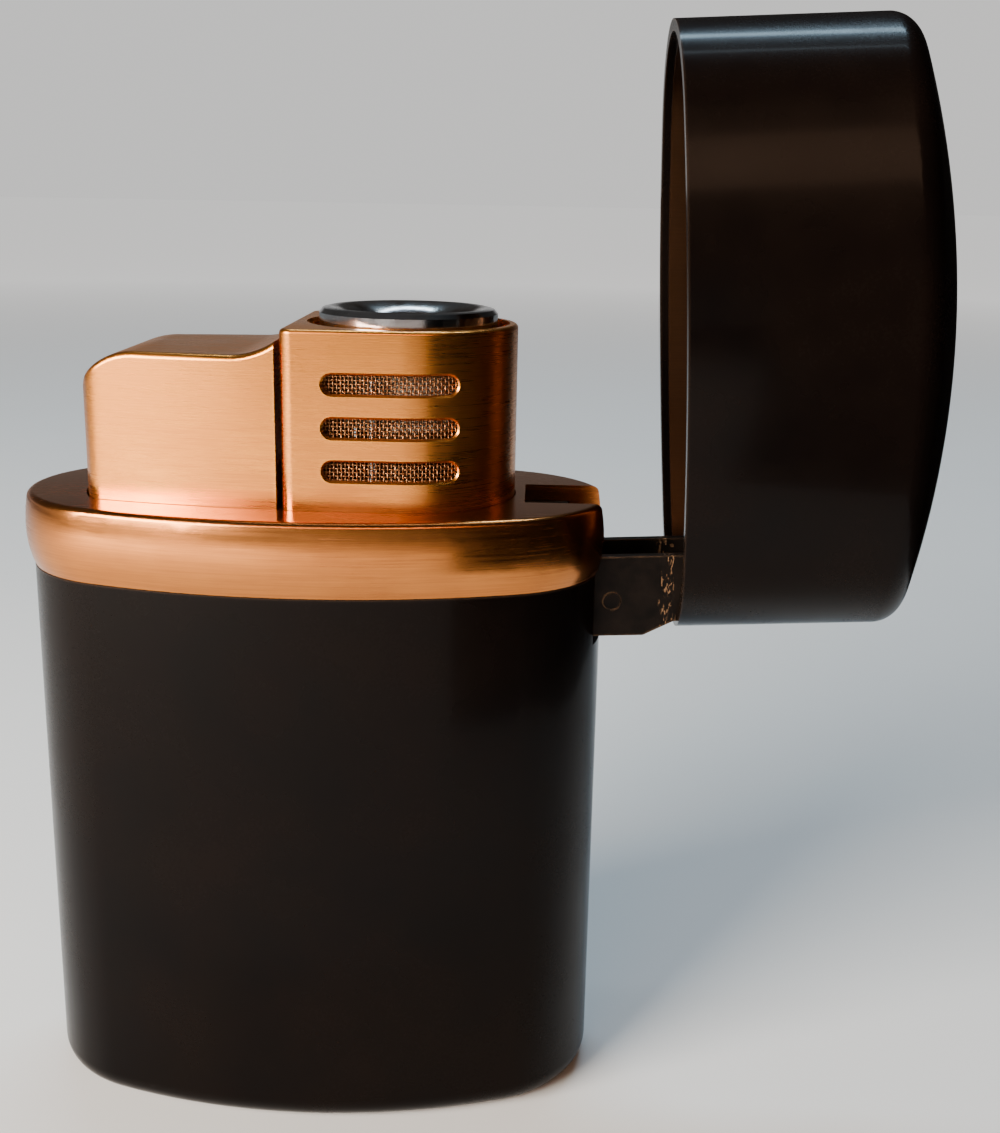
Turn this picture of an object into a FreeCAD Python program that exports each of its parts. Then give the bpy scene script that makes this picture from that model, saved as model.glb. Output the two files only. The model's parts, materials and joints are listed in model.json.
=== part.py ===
"""Flip-top jet lighter with an oval body, standing open.

Millimetres. Origin at the centre of the flat base, +Z up, +X towards the hinge, -Y the front.
The lid group is modelled shut, square on the collar, and then swung open about the hinge pin.
"""
import FreeCAD, Part
import math
import os

V = FreeCAD.Vector
Z_AXIS = V(0, 0, 1)
Y_AXIS = V(0, 1, 0)

# ---- oval outline shared by collar and lid (four tangent arcs) ----
half_length = 21.0
half_depth = 11.3
end_radius = 9.3

# ---- outer shells ----
body_height = 40.2
collar_height = 5.3
body_inset = 0.25            # body stands this far inside the collar's outline
shell_wall = 0.8
base_edge_radius = 1.9
collar_bulge = 0.25
collar_plate = 1.2           # thickness of the collar's top plate
collar_edge_radius = 0.5
spigot_depth = 2.0           # collar's spigot inside the body
spigot_wall = 0.8
fit_gap = 0.1                # between fixed pieces that slip together

# ---- base ----
base_floor = 1.0
base_ring = 3.0              # width of the body's turned-in bottom rim
base_cap_flange = 1.0
base_screw_inset = 7.5       # screws' distance inside the oval's ends
base_screw_head = 1.4
base_screw_shank = 0.7

# ---- lid ----
lid_height = 19.1
lid_wall = 0.8
lid_dome_ratio = 3.05         # dome's radius to the oval's half length
lid_edge_radius = 2.1
lid_gap = 0.2                # between the shut lid's rim and the collar
liner_wall = 0.3
liner_setback = 0.6          # liner's edge behind the lid's rim
liner_window_half = 5.2      # window in the liner round the hinge bracket
liner_window_height = 8.4
open_angle = 87.2

# ---- hinge ----
pin_inset = 2.45             # pin's distance inside the collar's end
pin_drop = 7.3               # pin below the collar's top
pin_radius = 0.7
pin_running_gap = 0.04
bracket_half_width = 3.0
bracket_wall = 0.8
bracket_back = 3.3           # cheek's reach from the pin towards the burner
bracket_front = 2.6          # web's outer face beyond the pin
cam_radius = 3.1             # corner of the bracket's heel that rides on the leaf spring
bracket_slot_gap = 0.2
lug_half_width = 2.0
lug_radius = 1.5
bracket_in_lid = 7.6         # length of web against the lid's end wall
cheek_in_lid = 2.5
joggle_length = 2.4
spacer_height = 2.9          # spacer rivet above the pin
spacer_radius = 0.6
leaf_thickness = 0.3
leaf_gap = 0.15
leaf_half_width = 2.7
leaf_from_burner = 3.6       # leaf's fixed end from the burner's axis
leaf_rivet_inset = 1.6
leaf_rivet_radius = 0.5
leaf_rivet_grip = 2.2

# ---- igniter button ----
button_height = 10.35
button_peak = 11.3
button_left = 16.5           # left end from the body's middle
button_half_depth = 7.35
button_end_half_depth = 5.4
button_corner_radius = 4.4
button_skirt = 2.6
button_wall = 0.9
button_crest_radius = 0.45
button_gap = 0.15
button_travel = 3.0
button_end_bow = 1.5         # how far the left end bows out
button_upright_radius = 1.8  # left end's upright edges
well_gap = 0.35              # chassis well round the button's skirt

# ---- burner cover and burner ----
cover_height = 12.2
cover_radius = 7.75
cover_flat = 8.0             # flat left face from the burner's axis
cover_wall = 0.4
cover_top = 0.45
cover_hole_radius = 7.15
cover_edge_radius = 0.3
cover_to_button = 0.35
cover_to_slot = 0.75
air_slot_length = 9.0
air_slot_height = 1.3
air_slot_pitch = 2.93
air_slot_first = 2.76
air_slot_offset = -0.6       # slots' middle from the burner's axis
air_slot_bevel = 0.15
screen_gap = 0.15
screen_thickness = 0.25
cup_radius = 6.3
cup_mouth_radius = 3.9
cup_proud = 1.05
burner_flange_radius = 4.4
burner_neck_radius = 2.6
burner_head_radius = 3.7
burner_head_wall = 0.6
burner_head_drop = 1.9       # burner's mouth below the cover's roof
insulator_wall = 1.1
insulator_drop = 2.6
flame_hole_radius = 0.28
electrode_radius = 0.4
electrode_side = -1.9        # electrode from the burner's axis
electrode_foot_drop = 6.0
electrode_rise = 8.6
lead_radius = 0.45
lead_drop = 13.9
channel_gap = 0.15           # round the lead and electrode in the chassis

# ---- piezo igniter ----
piezo_length = 7.0
piezo_depth = 7.0
plunger_length = 4.0
plunger_depth = 4.0
plunger_gap = 0.1
piezo_drop = 16.2            # bottom of the case below the collar's top
piezo_inset = 2.75           # case's distance inside the button's left wall
plunger_overlap = 5.5        # plunger inside its case at rest

# ---- fuel tank and valves ----
tank_bottom = 2.2
tank_drop = 18.5             # tank's rim below the collar's top
tank_lid_thickness = 1.6
tank_wall = 1.3
tank_gap = 0.25
fill_x = -7.0
fill_port_radius = 1.25
fill_port_length = 2.8
fill_body_radius = 2.3
valve_body_radius = 2.4
stem_radius = 0.9
stem_gap = 0.08
stem_collar_radius = 1.9
stem_collar_height = 0.8
adjuster_radius = 3.2
adjuster_thickness = 1.2
spindle_radius = 0.8

# ---- rocker that opens the gas valve ----
rocker_drop = 12.5           # pivot below the collar's top
rocker_left_arm = 8.5
rocker_right_arm = 3.0
rocker_thickness = 1.2
rocker_half_width = 1.8
rocker_boss_radius = 1.3
rocker_pin_radius = 0.6
rocker_pin_gap = 0.03
fork_half_gap = 1.1
touch_gap = 0.15

# ---- chassis ----
chassis_drop = 16.5          # chassis's lower face below the collar's top
bay_drop = 8.3               # burner bay's floor below the collar's top
bay_floor_thickness = 1.2

# ---- places worked out from the sizes above ----
top = body_height + collar_height
body_wall_inset = body_inset + shell_wall
chassis_inset = body_wall_inset + fit_gap + spigot_wall + fit_gap
base_screw_x = (base_screw_inset - half_length, half_length - base_screw_inset)
chassis_top = top - collar_plate - 0.05
pin_x = half_length - pin_inset
pin_z = top - pin_drop
slot_half = bracket_half_width + bracket_slot_gap
slot_start = pin_x - bracket_back - 0.25
burner_x = slot_start - cover_to_slot - cover_radius
cover_left = burner_x - cover_flat
button_right = cover_left - cover_to_button
piezo_x = -button_left + button_wall + piezo_inset + piezo_length / 2
rocker_x = burner_x - rocker_right_arm
cheek_inner = bracket_half_width - bracket_wall
leaf_top = pin_z - bracket_front - leaf_gap
lid_rim = top + lid_gap
lid_dome_radius = lid_dome_ratio * half_length
cover_roof = top + cover_height
burner_head_top = cover_roof - burner_head_drop
electrode_x = burner_x + electrode_side
insulator_radius = burner_head_radius + 0.02 + insulator_wall
insulator_reach = math.sqrt(insulator_radius ** 2 - electrode_side ** 2)
screen_reach = cover_radius - cover_wall - screen_gap - screen_thickness
electrode_y = -(insulator_reach + screen_reach) / 2
electrode_foot = top - electrode_foot_drop
lead_z = top - lead_drop
chassis_bottom = top - chassis_drop
bay_floor = top - bay_drop
rocker_z = top - rocker_drop
tank_top = top - tank_drop
tank_inset = body_wall_inset + tank_gap
piezo_bottom = top - piezo_drop
piezo_top = top - 1.0
plunger_bottom = piezo_top - plunger_overlap
plunger_top = top + button_height - button_wall - 0.02
leg_x = rocker_x - rocker_left_arm
leaf_start = burner_x + leaf_from_burner
leaf_rivet_x = leaf_start + leaf_rivet_inset

parts = {}


# ---- small helpers ----
def box(x0, x1, y0, y1, z0, z1):
    return Part.makeBox(x1 - x0, y1 - y0, z1 - z0, V(x0, y0, z0))


def cylinder(radius, x, y, z0, z1):
    return Part.makeCylinder(radius, z1 - z0, V(x, y, z0), Z_AXIS)


def tube(outer, inner, x, y, z0, z1):
    return cylinder(outer, x, y, z0, z1).cut(cylinder(inner, x, y, z0, z1))


def cross_cylinder(radius, x, z, y0, y1):
    return Part.makeCylinder(radius, y1 - y0, V(x, y0, z), Y_AXIS)


def join(first, *others):
    return first.multiFuse(list(others)).removeSplitter()


def extrude_wire(wire, z0, z1):
    return Part.Face(wire).extrude(V(0, 0, z1 - z0))


def extrude_plan(wire, z0, z1):
    """Prism between two heights from a wire drawn at height 0."""
    wire.translate(V(0, 0, z0))
    return extrude_wire(wire, z0, z1)


def revolve_outline(points, x, y):
    """Solid of revolution about a vertical axis at x, y from (radius, z) corners."""
    corners = [V(x + r, y, z) for r, z in points]
    face = Part.Face(Part.makePolygon(corners + [corners[0]]))
    return face.revolve(V(x, y, 0), Z_AXIS, 360)


def oval_wire(inset, z):
    """Four tangent arcs, parallel to the master outline at the given inset."""
    a, b, r = half_length - inset, half_depth - inset, end_radius - inset
    run = a - r
    big = (run * run + b * b - r * r) / (2 * (b - r))
    drop = big - b
    reach = big - r
    tx, ty = run + r * run / reach, r * drop / reach
    right, back = V(a, 0, z), V(0, b, z)
    left, front = V(-a, 0, z), V(0, -b, z)
    joints = [V(tx, -ty, z), V(tx, ty, z), V(-tx, ty, z), V(-tx, -ty, z)]
    middles = [right, back, left, front]
    arcs = [Part.Arc(joints[i], middles[i], joints[(i + 1) % 4]).toShape() for i in range(4)]
    return Part.Wire(arcs)


def oval_prism(inset, z0, z1):
    return extrude_wire(oval_wire(inset, z0), z0, z1)


def coil_spring(radius, wire, x, y, z0, z1, turns):
    """Round-wire helical spring whose ends stop inside z0 and z1."""
    height = z1 - z0 - 2 * wire
    helix = Part.makeHelix(height / turns, height, radius)
    ring = Part.Wire(Part.makeCircle(wire, V(radius, 0, 0), Y_AXIS))
    spring = Part.Wire(helix).makePipeShell([ring], True, True)
    spring.translate(V(x, y, z0 + wire))
    return spring


def screw(x, y, z_head, head_radius, head_height, shank_radius, length):
    """Countersunk-slot screw entering upwards; its head's face is at z_head."""
    head = cylinder(head_radius, x, y, z_head, z_head + head_height)
    shank = cylinder(shank_radius, x, y, z_head + head_height, z_head + length)
    slot = box(x - head_radius, x + head_radius, y - 0.2, y + 0.2, z_head, z_head + 0.35)
    return join(head, shank).cut(slot)


# ---- shells ----
def hinge_slot(z0, z1):
    """Space that the bracket swings through, open at the hinge end."""
    return box(slot_start, half_length + 3, -slot_half, slot_half, z0, z1)


def make_body_shell():
    outer = oval_prism(body_inset, 0, body_height)
    bottom_edges = [e for e in outer.Edges if e.BoundBox.ZMax < 1e-6]
    outer = outer.makeFillet(base_edge_radius, bottom_edges)
    inner = oval_prism(body_wall_inset, base_floor, body_height + 1)
    window = oval_prism(body_inset + base_ring, -1, base_floor + 1)
    notch = hinge_slot(pin_z - cam_radius - 0.05, body_height + 1)
    return outer.cut(inner).cut(window).cut(notch)


def make_base_cap():
    plug = oval_prism(body_inset + base_ring + fit_gap, 0, base_floor)
    flange = oval_prism(body_wall_inset + fit_gap, base_floor, base_floor + base_cap_flange)
    cap = join(plug, flange)
    cap = cap.cut(cylinder(fill_body_radius + fit_gap, fill_x, 0, -1, 5))
    cap = cap.cut(cylinder(adjuster_radius + 0.3, burner_x, 0, -1, adjuster_thickness + 0.5))
    cap = cap.cut(cylinder(spindle_radius + 0.3, burner_x, 0, -1, 5))
    for x in base_screw_x:
        cap = cap.cut(cylinder(base_screw_head + fit_gap, x, 0, -1, 0.9))
        cap = cap.cut(cylinder(base_screw_shank + fit_gap, x, 0, -1, 5))
    return cap



def make_base_screws():
    screws = [screw(x, 0, 0.15, base_screw_head, 0.75, base_screw_shank, 5.2) for x in base_screw_x]
    return Part.makeCompound(screws)


def collar_outer():
    """Band that swells out under its top edge and draws in to the body."""
    drop = collar_height
    rows = [(0.0, 0.0), (0.22, -0.7), (0.45, -1.0), (0.75, -0.45), (1.0, 1.2)]
    wires = [oval_wire(collar_bulge * swell, top - share * drop) for share, swell in rows]
    band = Part.makeLoft(wires, True, False)
    rim = [e for e in band.Edges if e.BoundBox.ZMin > top - 1e-6]
    return band.makeFillet(collar_edge_radius, rim)


def make_collar():
    band = collar_outer()
    spigot = oval_prism(body_wall_inset + fit_gap, body_height - spigot_depth, body_height + 0.5)
    inner = oval_prism(body_wall_inset + fit_gap + spigot_wall, 0, top - collar_plate)
    shape = join(band, spigot).cut(inner)
    shape = shape.cut(button_plan_prism(-button_gap, chassis_top - 1, top + 1))
    shape = shape.cut(extrude_plan(cover_plan(-fit_gap), chassis_top - 1, top + 1))
    return shape.cut(hinge_slot(0, top + 1))


# ---- igniter button ----
def button_plan(inset):
    """Plan outline: flat right side, bowed front and back, rounded left end."""
    corner = V(-button_left + button_end_bow, -button_end_half_depth, 0)
    right = V(button_right, -button_half_depth, 0)
    bow = V((corner.x + right.x) / 2, -(button_end_half_depth + button_half_depth) / 2 - 0.4, 0)
    mirror = [V(p.x, -p.y, 0) for p in (right, bow, corner)]
    tip = V(-button_left, 0, 0)
    edges = [
        Part.Arc(right, bow, corner).toShape(),
        Part.Arc(corner, tip, mirror[2]).toShape(),
        Part.Arc(mirror[2], mirror[1], mirror[0]).toShape(),
        Part.LineSegment(mirror[0], right).toShape(),
    ]
    wire = Part.Wire(edges)
    if inset:
        wire = wire.makeOffset2D(-inset, 2)
    return wire


def button_plan_prism(inset, z0, z1):
    """Extruded plan with its left end's upright edges rounded."""
    prism = extrude_plan(button_plan(inset), z0, z1)
    limit = -button_left + button_end_bow + 2
    uprights = [e for e in prism.Edges if e.BoundBox.ZLength > 1 and e.BoundBox.XMax < limit]
    return prism.makeFillet(button_upright_radius - inset, uprights)


def button_block(inset, z0):
    """Solid under the button's skin, moved inwards by inset."""
    peak = button_peak - inset
    crest = button_height - inset
    left = -button_left + inset
    right = button_right - inset
    r = button_corner_radius - inset
    rise = 2.9
    lean = 0.35
    h = top + crest
    points = {
        "foot": V(left - 0.1, 0, z0),
        "hip": V(left, 0, top + crest - r - 1.5),
        "shoulder": V(left + lean + r * 0.32, 0, h - r * 0.27),
        "flat": V(left + lean + r + 0.6, 0, h),
        "dip": V(right - rise, 0, h),
        "bend": V(right - rise * 0.36, 0, h + (peak - crest) * 0.42),
        "peak": V(right, 0, top + peak),
        "heel": V(right, 0, z0),
    }
    p = points
    edges = [
        Part.LineSegment(p["foot"], p["hip"]).toShape(),
        Part.Arc(p["hip"], p["shoulder"], p["flat"]).toShape(),
        Part.LineSegment(p["flat"], p["dip"]).toShape(),
        Part.Arc(p["dip"], p["bend"], p["peak"]).toShape(),
        Part.LineSegment(p["peak"], p["heel"]).toShape(),
        Part.LineSegment(p["heel"], p["foot"]).toShape(),
    ]
    side = Part.Face(Part.Wire(edges))
    side.translate(V(0, -half_depth, 0))
    side = side.extrude(V(0, 2 * half_depth, 0))
    return side.common(button_plan_prism(inset, z0, top + button_peak + 1))


def make_button():
    foot = top - button_skirt
    block = button_block(0, foot)
    hollow = button_block(button_wall, foot - 1)
    shape = block.cut(hollow)
    crest_edges = []
    for e in block.Edges:
        room = e.BoundBox
        along = room.XLength > 1.5 and room.ZMin > top + 1 and abs(room.Center.y) > 3
        if along and room.YLength < 3:
            crest_edges.append(e)
    rounded = block.makeFillet(button_crest_radius, crest_edges)
    shape = shape.common(rounded)
    leg_foot = rocker_z + rocker_thickness / 2 + touch_gap + 0.1
    ceiling = top + button_height - button_wall
    leg = box(leg_x - 0.5, leg_x + 0.6, -1.5, 1.5, leg_foot, ceiling + 0.3)
    return join(shape, leg)


# ---- burner cover ----
def cover_plan(inset):
    """D-shaped plan: flat on the button's side, half round on the hinge's side."""
    r = cover_radius - inset
    left = cover_left + inset
    corner = max(0.9 - inset, 0.3)
    c = burner_x
    d = corner * (1 - math.sqrt(0.5))
    edges = [
        Part.LineSegment(V(left + corner, -r, 0), V(c, -r, 0)).toShape(),
        Part.Arc(V(c, -r, 0), V(c + r, 0, 0), V(c, r, 0)).toShape(),
        Part.LineSegment(V(c, r, 0), V(left + corner, r, 0)).toShape(),
        Part.Arc(V(left + corner, r, 0), V(left + d, r - d, 0), V(left, r - corner, 0)).toShape(),
        Part.LineSegment(V(left, r - corner, 0), V(left, -r + corner, 0)).toShape(),
        Part.Arc(V(left, -r + corner, 0), V(left + d, -r + d, 0), V(left + corner, -r, 0)).toShape(),
    ]
    return Part.Wire(edges)


def cover_prism(inset, z0, z1):
    return extrude_plan(cover_plan(inset), z0, z1)


def make_burner_cover():
    shape = cover_prism(0, chassis_top, cover_roof)
    rim = [e for e in shape.Edges if e.BoundBox.ZMin > cover_roof - 1e-6]
    shape = shape.makeFillet(cover_edge_radius, rim)
    shape = shape.cut(cover_prism(cover_wall, chassis_top - 1, cover_roof - cover_top))
    shape = shape.cut(cylinder(cover_hole_radius, burner_x, 0, cover_roof - 2, cover_roof + 1))
    middle = burner_x + air_slot_offset
    reach = air_slot_length / 2 - air_slot_height / 2
    for row in range(3):
        z = top + air_slot_first + row * air_slot_pitch
        bar = box(middle - reach, middle + reach, -half_depth, half_depth,
                  z - air_slot_height / 2, z + air_slot_height / 2)
        ends = [cross_cylinder(air_slot_height / 2, middle + s * reach, z, -half_depth, half_depth)
                for s in (-1, 1)]
        shape = shape.cut(join(bar, *ends))
    rims = [e for e in shape.Edges if is_slot_rim(e)]
    return shape.makeChamfer(air_slot_bevel, rims)


def is_slot_rim(edge):
    """True for the outer edges of the air slots."""
    room = edge.BoundBox
    low = top + air_slot_first - air_slot_height
    high = top + air_slot_first + 2 * air_slot_pitch + air_slot_height
    if room.ZMin < low or room.ZMax > high or room.XMin < cover_left + 1:
        return False
    for vertex in edge.Vertexes:
        x, y = max(vertex.X - burner_x, 0), vertex.Y
        if math.hypot(x, y) < cover_radius - 0.02:
            return False
    return True


def make_air_screen():
    outer = cover_wall + screen_gap
    low, high = top + 0.4, cover_roof - cover_top - 1.2
    sleeve = cover_prism(outer, low, high)
    return sleeve.cut(cover_prism(outer + screen_thickness, low - 1, high + 1))


# ---- burner ----
def make_burner_cup():
    """Bright dished ring: rolled lip outside, slope down to the mouth, short inner collar."""
    lip = cover_roof + cup_proud
    r, m = cup_radius, cup_mouth_radius
    points = [
        (m, lip - 2.3), (m, lip - 0.75), (m + 0.25, lip - 0.55), (r - 1.3, lip - 0.12), (r - 0.7, lip),
        (r - 0.25, lip - 0.1), (r, lip - 0.4), (r, lip - 2.2), (r - 0.35, lip - 2.2), (r - 0.35, lip - 0.6),
        (r - 0.9, lip - 0.38), (m + 0.35, lip - 0.95), (m + 0.35, lip - 2.3),
    ]
    return revolve_outline(points, burner_x, 0)


def make_insulator_ring():
    bore = insulator_radius - insulator_wall
    return tube(insulator_radius, bore, burner_x, 0, top + 5.0, cover_roof - insulator_drop)


def make_burner_body():
    flange = cylinder(burner_flange_radius, burner_x, 0, bay_floor, bay_floor + 1.2)
    neck = cylinder(burner_neck_radius, burner_x, 0, bay_floor + 1.2, top + 3.0)
    head = cylinder(burner_head_radius, burner_x, 0, top + 3.0, burner_head_top)
    shape = join(flange, neck, head)
    shape = shape.cut(cylinder(stem_radius + stem_gap, burner_x, 0, bay_floor - 1, bay_floor + 3.0))
    shape = shape.cut(cylinder(0.3, burner_x, 0, bay_floor, bay_floor + 4.5))
    shape = shape.cut(cylinder(1.7, burner_x, 0, bay_floor + 4.0, top + 4.0))
    bore = burner_head_radius - burner_head_wall
    shape = shape.cut(cylinder(bore, burner_x, 0, top + 4.0, burner_head_top + 1))
    for k in range(3):
        hole = Part.makeCylinder(0.6, 8, V(-4, 0, 0), V(1, 0, 0))
        hole.rotate(V(0, 0, 0), Z_AXIS, 60 * k + 30)
        hole.translate(V(burner_x, 0, bay_floor + 5.6))
        shape = shape.cut(hole)
    return shape


def make_flame_plate():
    """Perforated plate that the flame stands on, inside the burner's head."""
    r = burner_head_radius - burner_head_wall - 0.02
    plate = cylinder(r, burner_x, 0, burner_head_top - 1.6, burner_head_top - 0.9)
    for count, ring in ((1, 0.0), (6, 1.05), (12, 2.15)):
        for k in range(count):
            a = 2 * math.pi * k / count
            plate = plate.cut(cylinder(flame_hole_radius, burner_x + ring * math.cos(a), ring * math.sin(a),
                                       burner_head_top - 3, burner_head_top))
    return plate


def make_flame_coil():
    """Fine glow-wire coil that lies across the burner's mouth."""
    length = 5.0
    helix = Part.makeHelix(0.62, length, 0.42)
    ring = Part.Wire(Part.makeCircle(0.12, V(0.42, 0, 0), Y_AXIS))
    coil = Part.Wire(helix).makePipeShell([ring], True, True)
    coil.rotate(V(0, 0, 0), V(1, 0, 0), -90)
    coil.translate(V(burner_x, -length / 2, burner_head_top - 0.2))
    return coil


# ---- spark path ----
def make_electrode():
    tip_z = top + electrode_rise
    rod = cylinder(electrode_radius, electrode_x, electrode_y, electrode_foot, tip_z)
    tip = Part.makeSphere(electrode_radius, V(electrode_x, electrode_y, tip_z))
    return join(rod, tip)


def lead_path():
    start = V(piezo_x + 1.0, -piezo_depth / 2, lead_z)
    corner_1 = V(start.x, electrode_y, lead_z)
    corner_2 = V(electrode_x, electrode_y, lead_z)
    end = V(electrode_x, electrode_y, electrode_foot)
    corners = [start, corner_1, corner_2, end]
    return round_path(corners, (1.2, 1.6))


def round_path(corners, radii):
    """Straight runs joined by tangent arcs."""
    edges = []
    here = corners[0]
    for i, radius in enumerate(radii):
        a, b, c = corners[i], corners[i + 1], corners[i + 2]
        into = (b - a).normalize()
        away = (c - b).normalize()
        cut = radius * math.tan(into.getAngle(away) / 2)
        p, q = b - into * cut, b + away * cut
        centre_way = (away - into).normalize()
        half_turn = into.getAngle(away) / 2
        centre = b + centre_way * (radius / math.cos(half_turn))
        middle = centre - centre_way * radius
        edges.append(Part.LineSegment(here, p).toShape())
        edges.append(Part.Arc(p, middle, q).toShape())
        here = q
    edges.append(Part.LineSegment(here, corners[-1]).toShape())
    return Part.Wire(edges)


def sweep_round(path, start, heading, radius):
    ring = Part.Wire(Part.makeCircle(radius, start, heading))
    return path.makePipeShell([ring], True, False)


def make_lead(radius):
    start = V(piezo_x + 1.0, -piezo_depth / 2, lead_z)
    return sweep_round(lead_path(), start, V(0, -1, 0), radius)


# ---- piezo igniter ----
def make_piezo_case():
    hx, hy = piezo_length / 2, piezo_depth / 2
    case = box(piezo_x - hx, piezo_x + hx, -hy, hy, piezo_bottom, piezo_top)
    uprights = [e for e in case.Edges if e.BoundBox.ZLength > 3]
    case = case.makeFillet(0.8, uprights)
    px, py = plunger_length / 2 + plunger_gap, plunger_depth / 2 + plunger_gap
    well = box(piezo_x - px, piezo_x + px, -py, py, piezo_bottom + 1.5, piezo_top + 1)
    return case.cut(well)


def make_piezo_plunger():
    px, py = plunger_length / 2, plunger_depth / 2
    return box(piezo_x - px, piezo_x + px, -py, py, plunger_bottom, plunger_top)


def make_piezo_spring():
    return coil_spring(1.5, 0.22, piezo_x, 0, piezo_bottom + 1.5, plunger_bottom, 6)


# ---- fuel tank and valves ----
def make_fuel_tank():
    outer = oval_prism(tank_inset, tank_bottom, tank_top)
    inner = oval_prism(tank_inset + tank_wall, tank_bottom + 1.5, tank_top + 1)
    tank = outer.cut(inner)
    posts = [cylinder(spindle_radius + 1.6, burner_x, 0, tank_bottom, tank_top - 3.2),
             cylinder(fill_body_radius + 1.5, fill_x, 0, tank_bottom, 12.5)]
    posts += [cylinder(2.0, x, 0, tank_bottom, 7.0) for x in base_screw_x]
    tank = join(tank, *posts)
    tank = tank.cut(cylinder(spindle_radius + 0.2, burner_x, 0, 0, tank_top))
    tank = tank.cut(cylinder(fill_body_radius, fill_x, 0, 0, 11.0))
    tank = tank.cut(cylinder(0.7, fill_x, 0, 0, 20.0))
    for x in base_screw_x:
        tank = tank.cut(cylinder(base_screw_shank, x, 0, 0, 5.5))
    return tank


def make_tank_lid():
    lid = oval_prism(tank_inset, tank_top, tank_top + tank_lid_thickness)
    rib = oval_prism(tank_inset + tank_wall + fit_gap, tank_top - 1.0, tank_top)
    rib = rib.cut(oval_prism(tank_inset + 2 * tank_wall, tank_top - 2, tank_top + 1))
    return join(lid, rib).cut(cylinder(valve_body_radius, burner_x, 0, 0, top))


def make_gas_valve_body():
    base = tank_top - 3.0
    crown = tank_top + tank_lid_thickness
    body = join(cylinder(valve_body_radius, burner_x, 0, base, crown),
                cylinder(valve_body_radius + 1.2, burner_x, 0, crown, crown + 1.0),
                cylinder(1.8, burner_x, 0, crown + 1.0, crown + 2.4))
    body = body.cut(cylinder(stem_radius + stem_gap, burner_x, 0, base + 2.0, top))
    return body.cut(cylinder(spindle_radius + 0.2, burner_x, 0, base - 1, base + 1.4))


def make_gas_valve_seal():
    z = tank_top - 0.55
    ring = Part.makeTorus(valve_body_radius + 0.42, 0.4, V(burner_x, 0, z), Z_AXIS)
    return ring


def make_gas_valve_stem():
    low = tank_top - 0.6
    collar_z = rocker_z + rocker_thickness / 2 + touch_gap
    stem = cylinder(stem_radius, burner_x, 0, low, bay_floor + 1.4)
    ring = cylinder(stem_collar_radius, burner_x, 0, collar_z, collar_z + stem_collar_height)
    bore = cylinder(0.35, burner_x, 0, low + 2, bay_floor + 2)
    return join(stem, ring).cut(bore)


def make_gas_valve_spring():
    low = rocker_z + rocker_thickness / 2 + touch_gap + stem_collar_height
    return coil_spring(1.45, 0.2, burner_x, 0, low + 0.02, bay_floor - 0.02, 3)


def make_flame_adjuster():
    wheel = cylinder(adjuster_radius, burner_x, 0, 0.25, 0.25 + adjuster_thickness)
    for k in range(18):
        a = 2 * math.pi * k / 18
        wheel = wheel.cut(cylinder(0.28, burner_x + adjuster_radius * math.cos(a),
                                   adjuster_radius * math.sin(a), 0, 3))
    wheel = wheel.cut(box(burner_x - 2.2, burner_x + 2.2, -0.35, 0.35, 0, 0.7))
    spindle = cylinder(spindle_radius, burner_x, 0, 0.25 + adjuster_thickness, tank_top - 2.4)
    needle = Part.makeCone(spindle_radius, 0.3, 0.7, V(burner_x, 0, tank_top - 2.4), Z_AXIS)
    return join(wheel, spindle, needle)


def make_fill_valve_body():
    body = cylinder(fill_body_radius, fill_x, 0, 0.3, 10.9)
    body = body.cut(cylinder(fill_port_radius, fill_x, 0, 0, fill_port_length + 0.3))
    body = body.cut(cylinder(1.6, fill_x, 0, fill_port_length + 0.3, 10.0))
    body = body.cut(cylinder(0.6, fill_x, 0, 9, 12))
    return body


def make_fill_valve_seal():
    z = fill_port_length + 0.3
    return tube(1.58, 0.75, fill_x, 0, z + 0.01, z + 0.61)


def make_fill_valve_stem():
    z = fill_port_length + 0.3 + 0.62
    return join(cylinder(0.6, fill_x, 0, z - 0.6, z), cylinder(1.45, fill_x, 0, z, z + 1.0),
                cylinder(0.6, fill_x, 0, z + 1.0, z + 3.2))


def make_fill_valve_spring():
    z = fill_port_length + 0.3 + 1.62
    return coil_spring(1.05, 0.17, fill_x, 0, z + 0.02, 9.98, 5)


# ---- rocker ----
def rocker_arm(x0, x1, half_width):
    """Bar with round ends whose tops stay at one height as it tips."""
    r = rocker_thickness / 2
    bar = box(x0, x1, -half_width, half_width, rocker_z - r, rocker_z + r)
    ends = [cross_cylinder(r, x, rocker_z, -half_width, half_width) for x in (x0, x1)]
    return join(bar, *ends)


def make_valve_rocker():
    arm = rocker_arm(rocker_x - rocker_left_arm, burner_x, rocker_half_width)
    boss = cross_cylinder(rocker_boss_radius, rocker_x, rocker_z, -rocker_half_width, rocker_half_width)
    fork = box(burner_x - 1.3, burner_x + 2, -fork_half_gap, fork_half_gap, rocker_z - 2, rocker_z + 2)
    hole = cross_cylinder(rocker_pin_radius + rocker_pin_gap, rocker_x, rocker_z, -5, 5)
    return join(arm, boss).cut(fork).cut(hole)


def make_rocker_pin():
    return cross_cylinder(rocker_pin_radius, rocker_x, rocker_z, -3.4, 3.4)


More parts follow.
